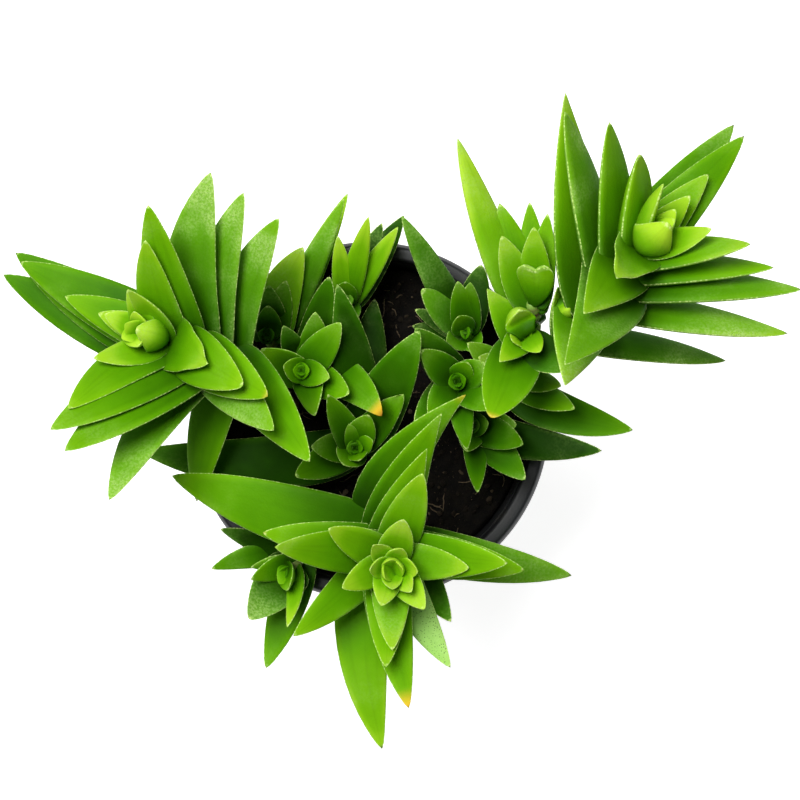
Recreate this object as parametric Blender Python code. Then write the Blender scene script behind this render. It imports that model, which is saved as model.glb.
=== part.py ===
"""Potted crassula: a nursery pot, its soil, three leafy shoots and the young shoots between them.

Every length in this file is in millimetres and every angle in degrees.  A leaf is described by
where it leaves its stem (millimetres back from the stem's tip), the compass angle it points to
(turn, from +X towards +Y), how steeply it climbs (rise) and its length.
"""

import math

import bmesh
import bpy
from mathutils import Vector, noise
from mathutils.bvhtree import BVHTree

METRES = 0.001
GAP = 0.3                 # air left between neighbouring pieces
UP = Vector((0.0, 0.0, 1.0))

# pot
POT_SIDES = 40
POT_OUTSIDE = [(0, 0), (40.8, 0), (42, 1.5), (54.7, 97), (54.9, 104.4), (58, 104.6), (58.5, 101.4),
               (59.8, 101.4), (60, 106), (58.6, 108)]
POT_INSIDE = [(55, 108), (54.3, 107.2), (54.2, 102.6), (53.5, 102), (53.4, 97), (40.6, 1.8), (0, 1.8)]
DRAIN_HOLES = 8
DRAIN_RADIUS = 1.8
DRAIN_CIRCLE = 31

# soil
SOIL_TOP = 96.0
SOIL_SIDES = 32
SOIL_WALL = [(0, 2.2), (39.4, 2.2), (40.4, 3.2), (52.5, 94.5), (51.3, 96)]
SOIL_BUMP = 1.3

# stems: points from below the soil up to the tip, and the radius at both ends
STEM_LEFT = [(-26, 4, 86), (-30, 8, 112), (-43, 17, 131), (-57, 23.5, 143), (-70, 28, 152)]
STEM_RIGHT = [(38, 6, 86), (47, 11, 112), (60, 25, 134), (74, 42, 148), (88, 58, 160)]
STEM_FRONT = [(4, -22, 86), (5, -30, 112), (6.5, -39, 137), (7.5, -45, 158)]
STEM_RADII = (3.2, 1.5)
SHOOT_RADII = (1.9, 0.9)

TO_LIGHT = 0.4  # how far each leaf turns its face from its stem's tip to the light overhead

WELDS = (0.02, 0.01, 0.0)          # widths tried in turn when closing up needle-thin edges
NUDGES = (0.0, 0.017, 0.031, 0.047)  # extra clearance tried in turn when a trim leaves an open skin

# leaf pairs: back from the tip, then (turn, rise, length) of each leaf, and its sway if it bends sideways
PAIRS_LEFT = [
    (4, (158, -38, 26), (-45, 70, 17)),
    (6.5, (122, 45, 25), (-148, 35, 27)),
    (9, (157, -23, 42), (-27, 61, 32)),
    (11, (103, 37, 40), (-146, 33, 44)),
    (13.5, (153, -7, 60), (-31, 55, 44)),
    (16, (103, 33, 52), (-147, 34, 56)),
    (18.5, (153, -10, 66), (-30, 54, 50)),
    (21.5, (85, 22, 60), (-142, 37, 60)),
    (24, (158, -9, 72), (-45, 54, 56)),
    (27, (78, 25, 58), (-124, 32, 62)),
    (30, (170, -40, 58), (-46, 48, 64)),
    (34, (70, 31, 56), (-97, 39, 54)),
]
PAIRS_RIGHT = [
    (4, (75, 38, 24), (12, 41, 24)),
    (6.5, (-97, 69, 26), (46, -30, 24)),
    (10.5, (87, 28, 37), (7, 19, 39)),
    (13.5, (-134, 59, 42), (46, -18, 44)),
    (16.5, (96, 25, 52), (1, 12, 49)),
    (19, (-123, 55, 56), (47, -4, 61)),
    (22, (106, 24, 60), (-2, 10, 61)),
    (25, (-114, 56, 54), (51, -8, 68)),
    (28.5, (99, 12, 67), (-11, 5, 62)),
    (36, (102, 55, 30), (-16, -15, 50)),
    (70, (-18, 50, 22), (160, 45, 24)),
    (74.5, (-28, 42, 28), (145, 40, 28)),
    (79, (-20, 9, 43), (168, 20, 30)),
]
PAIRS_FRONT = [
    (4, (74, 44, 20), (-61, 46, 19)),
    (6.5, (150, 40, 28), (-4, 30, 28)),
    (9, (70, 37, 36), (-89, 41, 36)),
    (12, (174, 36, 44), (-2, 35, 44)),
    (15, (71, 43, 48), (-92, 39, 44)),
    (18, (168, 10, 42), (-9, 10, 44)),
    (21, (69, 41, 60), (-83, 34, 56)),
    (25, (164, -6, 74), (-12, -14, 63)),
    (29, (62, 41, 68), (-92, 6, 69, -9)),
    (33, (-129, -18, 50), (-60, -20, 50)),
]

# the smallest leaves round each growing tip, unfolding from a core
BUD_LEFT = [(0.5, 120, 55, 12), (0.5, -120, 50, 12), (1.5, 60, 60, 15), (1.5, -60, 45, 15), (3, 158, -10, 18)]
BUD_RIGHT = [(0.5, 110, 50, 9), (0.5, -30, 50, 9), (1.5, -100, 50, 12), (2.5, 60, 10, 16)]
BUD_FRONT = [(0.5, 30, 70, 9), (0.5, -150, 65, 9), (1.5, 130, 55, 13), (1.5, -50, 50, 13),
             (2.5, -140, 45, 17), (2.5, 20, 45, 17)]

# young shoots: stem points, then (back, turn, rise, length) of each leaf
SHOOTS = {
    "shoot_centre_left": ([(-20, 14, 88), (-21, 15, 110), (-21.8, 16.4, 130)], [
        (2, -13, 53, 14), (2, 150, 60, 14), (5, 52, 40, 26), (5, -100, 45, 22), (8, -22, 48, 28),
        (8, 165, 50, 24), (13, -28, 42, 38), (13, 92, 45, 34)]),
    "shoot_behind_left": ([(-28, 22, 88), (-30, 29, 106), (-31, 34, 120)], [
        (2, -7, 70, 12), (3, 97, 47, 22), (5, 72, 51, 22), (5, 14, 49, 22), (8, 71, 40, 34),
        (12, 61, 38, 60)]),
    "shoot_behind": ([(-8, 40, 88), (-6, 47, 106), (-4.8, 52.4, 119)], [
        (2, 72, 26, 18), (3, 40, 44, 18), (5, 117, 55, 22), (6, 35, 36, 24), (9, 92, 50, 38),
        (10, -150, 70, 28)]),
    "shoot_behind_right": ([(33, 32, 88), (32, 37, 106), (30.7, 40, 122)], [
        (2, 63, 35, 14), (2, 160, 45, 14), (5, 77, 50, 18), (6, 163, 40, 24), (8, -100, 60, 18),
        (12, 125, 38, 46)]),
    "shoot_middle": ([(30, 12, 88), (29, 12.5, 110), (28.6, 13, 128)], [
        (1, 58, 61, 9), (1, -147, 57, 9), (4, 140, 48, 22), (4, 44, 50, 18), (7, -129, 45, 20),
        (7, -42, 45, 20), (13, 128, 55, 42), (13, 70, 55, 30)]),
    "shoot_centre": ([(-4, -8, 88), (-4.5, -8.5, 108), (-4.7, -8.7, 124)], [
        (1, 103, 53, 14), (1, -49, 60, 12), (4, 63, 48, 18), (4, -128, 50, 15), (8, 117, 40, 28),
        (8, 48, 34, 30), (12, -168, 40, 24), (12, -151, 30, 30), (15, 179, 4, 69)]),
    "shoot_heart": ([(57, 20, 127), (54, 31, 139), (51.5, 47, 149)], [
        (0.5, 110, 26, 15), (0.5, 80, 30, 16), (3, 129, 34, 18), (3, 62, 10, 22), (6, 112, 15, 28),
        (6, 91, 28, 24), (13, 114, 3, 60)]),
    "shoot_rosette": ([(50, 15, 120), (49, 21, 133), (49.5, 28.5, 149)], [
        (0.5, 121, 40, 9), (0.5, -47, 55, 9), (3, 126, 20, 20), (3, -40, 55, 15), (6, -142, 50, 19),
        (9, -117, 43, 34)]),
    "shoot_tiny": ([(65, 31, 139), (63, 35, 146), (61.5, 37.5, 151)], [
        (0.5, 83, 20, 10), (0.5, -100, 40, 8)]),
    "shoot_low_front": ([(-16, -34, 88), (-20, -41, 108), (-27, -50, 120)], [
        (1, -89, 50, 14), (1, 145, 50, 14), (4, -165, 45, 24), (4, -96, 32, 24), (8, -170, 0, 29),
        (8, -107, 8, 38), (11, 160, 2, 30), (11, -135, 5, 28)]),
    "shoot_low_right": ([(36, -2, 88), (35, -1.6, 104), (34, -1.3, 114)], [
        (1, -19, 39, 20), (1, -107, 50, 14), (4, -46, 31, 28), (4, -86, 36, 27), (7, 11, 50, 24),
        (7, -11, 22, 46)]),
}


def degrees(angle):
    """Radians from degrees."""
    return math.radians(angle)


def heading(turn, rise):
    """Unit vector pointing along a compass angle and climbing by a rise."""
    flat = math.cos(degrees(rise))
    return Vector((flat * math.cos(degrees(turn)), flat * math.sin(degrees(turn)), math.sin(degrees(rise))))


class Stem:
    """A smooth curve through given points, measured back from its tip."""

    def __init__(self, points, radii):
        points = [Vector(p) for p in points]
        ends = [2 * points[0] - points[1]] + points + [2 * points[-1] - points[-2]]
        self.points = [points[0]]
        for a, b, c, d in zip(ends, ends[1:], ends[2:], ends[3:]):
            for step in range(1, 4):
                t = step / 3
                self.points.append(0.5 * (2 * b + (c - a) * t + (2 * a - 5 * b + 4 * c - d) * t * t
                                          + (3 * b - a - 3 * c + d) * t ** 3))
        self.radii = radii
        self.reach = [0.0]
        for a, b in zip(self.points, self.points[1:]):
            self.reach.append(self.reach[-1] + (b - a).length)

    @property
    def length(self):
        return self.reach[-1]

    def at(self, back):
        """Point on the stem this far back from the tip."""
        want = self.length - back
        for (a, b), (near, far) in zip(zip(self.points, self.points[1:]), zip(self.reach, self.reach[1:])):
            if want <= far:
                return a.lerp(b, (want - near) / (far - near))
        return self.points[-1] + (self.points[-1] - self.points[-2]).normalized() * -back

    def axis(self, back):
        """Direction of growth this far back from the tip."""
        return (self.at(back - 1.0) - self.at(back + 1.0)).normalized()

    def radius(self, back):
        share = min(1.0, max(0.0, 1.0 - back / self.length))
        return self.radii[0] + (self.radii[1] - self.radii[0]) * share

    def tube(self, sides=8):
        """The whole stem as a tapering bar."""
        return Tube(self.points, [self.radius(self.length - reach) for reach in self.reach], sides)

    def collar(self, back, height):
        """Short sleeve round the stem that two opposite leaves grow from."""
        middle, axis = self.at(back), self.axis(back)
        radius = self.radius(back) + 1.1
        return Tube([middle - axis * height / 2, middle + axis * height / 2], [radius, radius], 6)


class Tube:
    """Round bar along a line of points."""

    def __init__(self, points, radii, sides):
        self.points, self.radii, self.sides = points, radii, sides

    def mesh(self, grow=0.0):
        """Corners and faces of the closed bar, made larger all over by grow."""
        corners, faces, sides = [], [], self.sides
        last = len(self.points) - 1
        side = None
        for i, point in enumerate(self.points):
            along = (self.points[min(i + 1, last)] - self.points[max(i - 1, 0)]).normalized()
            side = (along.orthogonal() if side is None else side - along * side.dot(along)).normalized()
            over = along.cross(side)
            centre = point + along * (grow if i == last else -grow if i == 0 else 0)
            for k in range(sides):
                angle = 2 * math.pi * k / sides
                spoke = side * math.cos(angle) + over * math.sin(angle)
                corners.append(centre + spoke * (self.radii[i] + grow))
        for i in range(last):
            for k in range(sides):
                a, b = i * sides + k, i * sides + (k + 1) % sides
                faces += [(a, b, b + sides), (a, b + sides, a + sides)]
        faces.append(tuple(reversed(range(sides))))
        faces.append(tuple(range(last * sides, (last + 1) * sides)))
        return corners, faces


class Leaf:
    """Fleshy lance-shaped leaf: flat face towards the stem tip, keeled back."""

    STATIONS = [(0.0, 0.55), (0.12, 0.85), (0.35, 1.0), (0.6, 0.85), (0.82, 0.5), (1.0, 0.05)]
    LARGE = 48                # leaves longer than this have a rounder back

    def __init__(self, root, axis, turn, rise, length, sway=0.0):
        self.root, self.length = root, length
        self.along = heading(turn, rise)
        self.side = axis.lerp(UP, TO_LIGHT).cross(self.along).normalized()
        outward = (self.along - axis * self.along.dot(axis)).normalized()
        self.elbow = root + (self.along * 0.55 + outward * 0.45) * (0.36 * length) + self.side * sway
        self.tip = root + self.along * length
        self.width = 4.2 + 0.22 * length
        self.thickness = 1.4 + 0.016 * length

    def spine(self, t):
        """Point and direction of the midline at t from 0 at the root to 1 at the tip."""
        point = self.root * (1 - t) ** 2 + self.elbow * (2 * t * (1 - t)) + self.tip * t * t
        along = (self.elbow - self.root) * (1 - t) + (self.tip - self.elbow) * t
        return point, along.normalized()

    def mesh(self, grow=0.0):
        """Corners and faces of the closed leaf, made larger all over by grow."""
        corners, faces = [], []
        for t, share in self.STATIONS:
            point, along = self.spine(t)
            if t in (0.0, 1.0):
                point = point + along * (grow if t else -grow)
            over = along.cross(self.side)
            half = self.width * share / 2
            thick = self.thickness * (1 - 0.35 * t - 0.45 * t ** 4)
            edge, top = half + 5 * grow, grow
            ring = [(-edge, top), (edge, top)]
            if self.length > self.LARGE:
                belly = 0.55 * half + grow
                flank, keel = -0.62 * thick - grow, -thick - 1.2 * grow
                ring += [(belly, flank), (0, keel), (-belly, flank)]
            else:
                ring += [(0, -thick - 1.2 * grow)]
            corners += [point + self.side * s + over * n for s, n in ring]
        sides = len(ring)
        last = (len(self.STATIONS) - 1) * sides
        for start in range(0, last, sides):
            for k in range(sides):
                a, b = start + k, start + (k + 1) % sides
                faces += [(a, a + sides, b + sides), (a, b + sides, b)]
        faces.append(tuple(range(sides)))
        faces.append(tuple(reversed(range(last, last + sides))))
        return corners, faces


def new_object(name, corners, faces):
    """Object in the scene from corners in millimetres, its faces turned outwards."""
    mesh = bpy.data.meshes.new(name)
    mesh.from_pydata([tuple(c * METRES) for c in corners], [], faces)
    work = bmesh.new()
    work.from_mesh(mesh)
    bmesh.ops.triangulate(work, faces=work.faces)
    bmesh.ops.recalc_face_normals(work, faces=work.faces)
    work.to_mesh(mesh)
    work.free()
    item = bpy.data.objects.new(name, mesh)
    bpy.context.scene.collection.objects.link(item)
    return item


def combined(name, joined, removed=()):
    """One object: the shapes joined into one body, less the shapes to remove."""
    item = new_object(name, *joined[0])
    helpers = []
    for operation, shapes in (("UNION", joined[1:]), ("DIFFERENCE", removed)):
        if not shapes:
            continue
        group = bpy.data.collections.new(operation.lower())
        for shape in shapes:
            helper = new_object("helper", *shape)
            group.objects.link(helper)
            helpers.append(helper)
        step = item.modifiers.new(operation.lower(), "BOOLEAN")
        step.operation, step.solver = operation, "EXACT"
        step.operand_type, step.collection = "COLLECTION", group
    bpy.context.view_layer.update()
    mesh = bpy.data.meshes.new_from_object(item.evaluated_get(bpy.context.evaluated_depsgraph_get()))
    groups = [step.collection for step in item.modifiers]
    item.modifiers.clear()
    item.data = mesh
    for helper in helpers:
        bpy.data.objects.remove(helper)
    for group in groups:
        bpy.data.collections.remove(group)
    return item


def bodies(work):
    """The faces of each separate body in a mesh, the largest body last."""
    groups, seen = [], set()
    for first in work.faces:
        if first in seen:
            continue
        group, todo = [], [first]
        seen.add(first)
        while todo:
            face = todo.pop()
            group.append(face)
            for edge in face.edges:
                for other in edge.link_faces:
                    if other not in seen:
                        seen.add(other)
                        todo.append(other)
        groups.append(group)
    return sorted(groups, key=len)


def tidy(mesh, weld):
    """Weld needle-thin edges and keep the main body as triangles; tells whether the skin is closed."""
    work = bmesh.new()
    work.from_mesh(mesh)
    if weld:
        bmesh.ops.remove_doubles(work, verts=work.verts, dist=weld * METRES)
        bmesh.ops.dissolve_degenerate(work, edges=work.edges, dist=weld * METRES / 2)
    bmesh.ops.triangulate(work, faces=work.faces)
    for chip in bodies(work)[:-1]:
        bmesh.ops.delete(work, geom=chip, context="FACES")
    bmesh.ops.recalc_face_normals(work, faces=work.faces)
    sound = len(work.faces) > 0 and all(len(edge.link_faces) == 2 for edge in work.edges)
    if sound:
        work.to_mesh(mesh)
    work.free()
    return sound


def outline(mesh):
    """Search tree of a mesh's faces, in millimetres."""
    corners = [corner.co / METRES for corner in mesh.vertices]
    return BVHTree.FromPolygons(corners, [tuple(face.vertices) for face in mesh.polygons])


def fitted(name, shapes, cuts):
    """One object from shapes joined into one body, with the cuts and the air round them taken out."""
    plain = [BVHTree.FromPolygons(*cut.mesh()) for cut in cuts]
    for nudge in NUDGES:
        for weld in WELDS:
            item = combined(name, [shape.mesh() for shape in shapes], [cut.mesh(GAP + nudge) for cut in cuts])
            sound = tidy(item.data, weld)
            if sound and not any(outline(item.data).overlap(skin) for skin in plain):
                return item
            bpy.data.objects.remove(item)
    raise RuntimeError(f"{name} can't be trimmed: move its leaves")


def finish(name, colour, roughness):
    """Principled material of one colour."""
    material = bpy.data.materials.new(name)
    material.use_nodes = True
    shader = material.node_tree.nodes["Principled BSDF"]
    shader.inputs["Base Color"].default_value = (*colour, 1.0)
    shader.inputs["Roughness"].default_value = roughness
    return material


def lathe(profile, sides):
    """Corners and faces of a profile turned round the Z axis, from pole to pole."""
    corners, faces = [], []
    rings = profile[1:-1]
    for radius, height in rings:
        for k in range(sides):
            angle = 2 * math.pi * k / sides
            corners.append(Vector((radius * math.cos(angle), radius * math.sin(angle), height)))
    for i in range(len(rings) - 1):
        for k in range(sides):
            a, b = i * sides + k, i * sides + (k + 1) % sides
            faces.append((a, b, b + sides, a + sides))
    for pole, start in ((profile[0], 0), (profile[-1], (len(rings) - 1) * sides)):
        corners.append(Vector((0.0, 0.0, pole[1])))
        faces += [(start + k, start + (k + 1) % sides, len(corners) - 1) for k in range(sides)]
    return corners, faces


class Plant:
    """Collects the pieces and keeps each new one clear of those already there."""

    def __init__(self):
        self.shapes = []

    def add(self, name, shapes, material, removed=()):
        """Build a piece from shapes, trimmed where older pieces would press into it."""
        cuts = list(removed)
        skins = [BVHTree.FromPolygons(*shape.mesh()) for shape in shapes]
        for other in self.shapes:
            if other in removed:
                continue
            near = BVHTree.FromPolygons(*other.mesh(GAP))
            if any(skin.overlap(near) for skin in skins):
                cuts.append(other)
        item = fitted(name, shapes, cuts)
        item.data.materials.clear()
        item.data.materials.append(material)
        self.shapes += shapes


def build_pot(material):
    """Tapered nursery pot with a rolled lip and round drain holes in its flat floor."""
    drains = []
    for k in range(DRAIN_HOLES):
        angle = 2 * math.pi * (k + 0.5) / DRAIN_HOLES
        foot = Vector((DRAIN_CIRCLE * math.cos(angle), DRAIN_CIRCLE * math.sin(angle), -2.0))
        drains.append(Tube([foot, foot + UP * 6], [DRAIN_RADIUS] * 2, 12).mesh())
    item = combined("pot", [lathe(POT_OUTSIDE + POT_INSIDE, POT_SIDES)], drains)
    item.data.materials.clear()
    item.data.materials.append(material)


def soil_shape():
    """Plug of soil that follows the pot's inside and has an uneven top."""
    profile = SOIL_WALL + [(r, SOIL_TOP) for r in (44, 36, 28, 20, 12, 5, 0)]
    corners, faces = lathe(profile, SOIL_SIDES)
    for corner in corners:
        if corner.z > SOIL_TOP - 0.1:
            corner.z += SOIL_BUMP * noise.noise(corner * 0.09) + 0.5 * noise.noise(corner * 0.3)
    return corners, faces


def build():
    """Make the pot, the soil and the whole plant."""
    for item in list(bpy.data.objects):
        bpy.data.objects.remove(item)
    plastic = finish("pot_plastic", (0.02, 0.02, 0.022), 0.4)
    earth = finish("soil", (0.045, 0.028, 0.018), 0.9)
    stalk = finish("stem", (0.22, 0.38, 0.06), 0.5)
    blade = finish("leaf", (0.13, 0.4, 0.02), 0.4)
    young = finish("young_leaf", (0.2, 0.5, 0.04), 0.4)

    plant = Plant()
    build_pot(plastic)
    mains = (("left", STEM_LEFT, PAIRS_LEFT, BUD_LEFT), ("right", STEM_RIGHT, PAIRS_RIGHT, BUD_RIGHT),
             ("front", STEM_FRONT, PAIRS_FRONT, BUD_FRONT))
    stems = []
    for name, points, _, _ in mains:
        stem = Stem(points, STEM_RADII)
        bar = stem.tube()
        plant.add("stem_" + name, [bar], stalk)
        stems.append((stem, bar))
    for (name, _, pairs, bud), (stem, bar) in zip(mains, stems):
        core = Tube([stem.at(0.4), stem.at(-3.7)], [2.4, 1.4], 8)
        tiny = [Leaf(stem.at(back - 3.0), stem.axis(back), *leaf) for back, *leaf in bud]
        plant.add("bud_" + name, [core] + tiny, young, [bar])
        for number, (back, *both) in enumerate(pairs, 1):
            leaves = [Leaf(stem.at(back), stem.axis(back), *leaf) for leaf in both]
            plant.add(f"leaves_{name}_{number:02d}", [stem.collar(back, 2.0)] + leaves, blade, [bar])
    sockets = [bar for _, bar in stems]
    for name, (points, leaves) in SHOOTS.items():
        stem = Stem(points, SHOOT_RADII)
        bar = stem.tube(6)
        sockets.append(bar)
        blades = [Leaf(stem.at(back), stem.axis(back), *leaf) for back, *leaf in leaves]
        plant.add(name, [bar] + blades, young)
    ground = combined("soil", [soil_shape()], [socket.mesh(GAP) for socket in sockets])
    ground.data.materials.clear()
    ground.data.materials.append(earth)


build()
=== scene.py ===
"""Looks for a potted crassula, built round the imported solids: leaves, stems, soil and a nursery pot.

Lengths in the tables are millimetres and angles are degrees, as on the solids.  The meshes are in metres.
"""

import logging
import math
from dataclasses import dataclass, field
from enum import Enum
from typing import Any, Callable, Iterable, Sequence, Union

import bpy
import numpy as np
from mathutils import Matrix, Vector, noise

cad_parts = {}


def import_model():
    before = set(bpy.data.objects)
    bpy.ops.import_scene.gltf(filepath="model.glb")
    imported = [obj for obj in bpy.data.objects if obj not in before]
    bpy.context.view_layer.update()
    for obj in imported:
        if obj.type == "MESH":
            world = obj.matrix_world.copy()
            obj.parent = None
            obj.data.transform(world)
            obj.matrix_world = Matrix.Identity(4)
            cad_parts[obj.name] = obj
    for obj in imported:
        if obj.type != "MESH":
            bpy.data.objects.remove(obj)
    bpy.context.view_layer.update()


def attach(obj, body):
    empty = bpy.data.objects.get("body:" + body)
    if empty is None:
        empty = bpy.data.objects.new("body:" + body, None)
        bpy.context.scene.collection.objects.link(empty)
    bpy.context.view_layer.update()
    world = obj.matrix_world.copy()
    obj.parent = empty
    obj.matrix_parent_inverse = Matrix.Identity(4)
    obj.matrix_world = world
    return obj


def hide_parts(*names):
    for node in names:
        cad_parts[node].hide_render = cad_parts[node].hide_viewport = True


log = logging.getLogger("crassula")

MM = 0.001
UP = np.array((0.0, 0.0, 1.0))
BODY = "root"
Point = Sequence[float]
Profile = Sequence[tuple[float, float]]
Colour = tuple[float, float, float]
Object = bpy.types.Object
Material = bpy.types.Material
WELD = 0.002               # millimetres within which the corners of a tube are merged
TURNED_WELD = 0.004        # the same for a turned body


# ---- small tools

def unit(vector: np.ndarray) -> np.ndarray:
    """A vector, or each row of vectors, scaled to length one."""
    return vector / np.linalg.norm(vector, axis=-1, keepdims=True)


def heading(turn: float, rise: float) -> np.ndarray:
    """Unit vector turned from +X towards +Y and rising from the horizontal, both in degrees."""
    flat = math.cos(math.radians(rise))
    return np.array((flat * math.cos(math.radians(turn)), flat * math.sin(math.radians(turn)),
                     math.sin(math.radians(rise))))


def smooth(low: float, high: float, value: np.ndarray) -> np.ndarray:
    """Soft step from 0 at low to 1 at high."""
    t = np.clip((value - low) / (high - low), 0.0, 1.0)
    return t * t * (3 - 2 * t)


def deselect() -> None:
    """Leave nothing selected, so that the next operator acts on its own piece alone."""
    bpy.ops.object.select_all(action="DESELECT")


def pick(*items: Object) -> None:
    """Select these objects alone and make the first the active one."""
    deselect()
    for item in items:
        item.select_set(True)
    bpy.context.view_layer.objects.active = items[0]


def edit_all() -> None:
    """Enter edit mode with everything selected."""
    bpy.ops.object.mode_set(mode="EDIT")
    bpy.ops.mesh.select_all(action="SELECT")


def face_out() -> None:
    """Turn all faces outwards and leave edit mode."""
    bpy.ops.mesh.normals_make_consistent(inside=False)
    bpy.ops.object.mode_set(mode="OBJECT")


def twin(item: Object) -> Object:
    """A copy of an object with a mesh of its own."""
    made = item.copy()
    made.data = item.data.copy()
    bpy.context.scene.collection.objects.link(made)
    return made


def added(operator: Callable[..., Any], **settings: Any) -> Object:
    """The object that an operator adds, with nothing else selected."""
    deselect()
    operator(**settings)
    return bpy.context.object


def corners_of(mesh: bpy.types.Mesh) -> np.ndarray:
    """The corners of a mesh as rows."""
    flat = np.empty(len(mesh.vertices) * 3, np.float32)
    mesh.vertices.foreach_get("co", flat)
    return flat.reshape(-1, 3).astype(float)


def move_corners(mesh: bpy.types.Mesh, rows: np.ndarray) -> None:
    """Put the corners of a mesh at the given rows."""
    mesh.vertices.foreach_set("co", rows.astype(np.float32).ravel())
    mesh.update()


def paint(mesh: bpy.types.Mesh, name: str, values: Union[float, np.ndarray]) -> None:
    """Write one number for all corners of a mesh, or one for each, for its material to read."""
    layer = mesh.attributes.get(name) or mesh.attributes.new(name, "FLOAT", "POINT")
    layer.data.foreach_set("value", np.broadcast_to(values, len(mesh.vertices)).astype(np.float32).copy())


def join(items: Sequence[Object], name: str) -> Object:
    """Join one or more objects into the first and name it."""
    pick(*items)
    if len(items) > 1:
        bpy.ops.object.join()
    items[0].name = items[0].data.name = name
    return items[0]


def weld(item: Object) -> None:
    """Merge the caps of the tubes in an object with their walls."""
    pick(item)
    edit_all()
    bpy.ops.mesh.remove_doubles(threshold=WELD * MM)
    face_out()


def empty_curve(depth: float, roundness: int) -> Object:
    """A curve object with no points yet, a capped round section and a thickness in millimetres."""
    item = added(bpy.ops.curve.primitive_nurbs_path_add)
    curve = item.data
    curve.splines.clear()
    curve.dimensions, curve.use_fill_caps = "3D", True
    curve.bevel_depth, curve.bevel_resolution = depth * MM, roundness
    return item


def tube_mesh() -> Object:
    """The active curve turned into a closed mesh."""
    bpy.ops.object.convert(target="MESH")
    weld(bpy.context.object)
    return bpy.context.object


def dress(piece: Object, material: Material, nodes: Iterable[str] = ()) -> None:
    """Give a finished piece its material and its body, and hide the solids it stands for.

    Args:
        piece: the piece, with its place in its mesh.
        material: its finish.
        nodes: the solids it replaces.
    """
    piece.data.update()
    piece.data.materials.clear()
    piece.data.materials.append(material)
    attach(piece, BODY)
    nodes = list(nodes)
    if nodes:
        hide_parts(*nodes)
    log.info("%s: %d faces, stands for %s", piece.name, len(piece.data.polygons),
             ", ".join(nodes) or "nothing")


# ---- shader expressions

def math_node(operation: str, reflected: bool = False) -> Callable[["Value", Any], "Value"]:
    """An operator that adds one Math node; a reflected one takes its other term first."""

    def operator(value: "Value", other: Any) -> "Value":
        """The node's result."""
        terms = (other, value) if reflected else (value, other)
        return value.graph.node("ShaderNodeMath", {"operation": operation}, dict(enumerate(terms)))

    return operator


class Value:
    """A shader socket that can be used in Python sums."""

    def __init__(self, graph: "Graph", socket: bpy.types.NodeSocket) -> None:
        """Wrap a socket of the graph's material."""
        self.graph = graph
        self.socket = socket

    __add__ = __radd__ = math_node("ADD")
    __mul__ = __rmul__ = math_node("MULTIPLY")
    __sub__ = math_node("SUBTRACT")
    __rsub__ = math_node("SUBTRACT", reflected=True)

    def step(self, low: float, high: float) -> "Value":
        """Soft step from 0 at low to 1 at high; high may be the smaller."""
        flip = high < low
        ends = (high, low) if flip else (low, high)
        found = self.graph.node("ShaderNodeMapRange", {"interpolation_type": "SMOOTHSTEP"},
                                {"Value": self, "From Min": ends[0], "From Max": ends[1]})
        return 1 - found if flip else found


class Graph:
    """Builds the nodes of one Principled material."""

    def __init__(self, name: str) -> None:
        """Start a material with nothing but its shader."""
        self.material = bpy.data.materials.new(name)
        self.material.use_nodes = True
        self.tree = self.material.node_tree
        self.shader = self.tree.nodes["Principled BSDF"]

    def node(self, kind: str, settings: dict[str, Any], inputs: dict[Any, Any], output: Any = 0) -> Value:
        """Add a node.

        Args:
            kind: the node's type.
            settings: its own properties, set first; a ramp takes "stops".
            inputs: values or links, by socket name or number.
            output: the socket that is wanted, by name or number.

        Returns:
            The wanted output.
        """
        made = self.tree.nodes.new(kind)
        for name, value in settings.items():
            if name == "stops":
                ramp = made.color_ramp.elements
                for number, (place, colour) in enumerate(value):
                    stop = ramp[number] if number < 2 else ramp.new(place)
                    stop.position, stop.color = place, (*colour, 1.0)
            else:
                setattr(made, name, value)
        for name, value in inputs.items():
            self.put(made.inputs[name], value)
        return Value(self, made.outputs[output])

    def put(self, socket: bpy.types.NodeSocket, value: Any) -> None:
        """Set a socket to a value, or link it."""
        if isinstance(value, Value):
            self.tree.links.new(value.socket, socket)
        elif isinstance(value, tuple) and socket.type == "RGBA":
            socket.default_value = (*value[:3], 1.0)
        else:
            socket.default_value = value

    def set(self, **sockets: Any) -> None:
        """Set the shader's sockets; an underscore in a name stands for a space."""
        for name, value in sockets.items():
            self.put(self.shader.inputs[name.replace("_", " ")], value)

    def place(self) -> Value:
        """Object coordinates."""
        return self.node("ShaderNodeTexCoord", {}, {}, "Object")

    def read(self, name: str) -> Value:
        """One number painted on the mesh."""
        return self.node("ShaderNodeAttribute", {"attribute_name": name}, {}, "Fac")

    def vector(self, x: Any, y: Any, z: Any) -> Value:
        """A vector from three numbers."""
        return self.node("ShaderNodeCombineXYZ", {}, {0: x, 1: y, 2: z})

    def cloud(self, where: Value, scale: float, detail: float = 2.0, rough: float = 0.5) -> Value:
        """Soft noise from 0 to 1."""
        return self.node("ShaderNodeTexNoise", {},
                         {"Vector": where, "Scale": scale, "Detail": detail, "Roughness": rough}, "Fac")

    def cells(self, where: Value, scale: float) -> Value:
        """Distance to scattered points."""
        return self.node("ShaderNodeTexVoronoi", {}, {"Vector": where, "Scale": scale}, "Distance")

    def blend(self, share: Any, first: Any, second: Any) -> Value:
        """Mix of two colours."""
        return self.node("ShaderNodeMix", {"data_type": "RGBA"}, {0: share, 6: first, 7: second}, 2)

    def bump(self, height: Value, strength: float, depth: float) -> Value:
        """Normals bent by a height, depth in metres."""
        return self.node("ShaderNodeBump", {}, {"Height": height, "Strength": strength, "Distance": depth})


# ---- finishes

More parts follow.
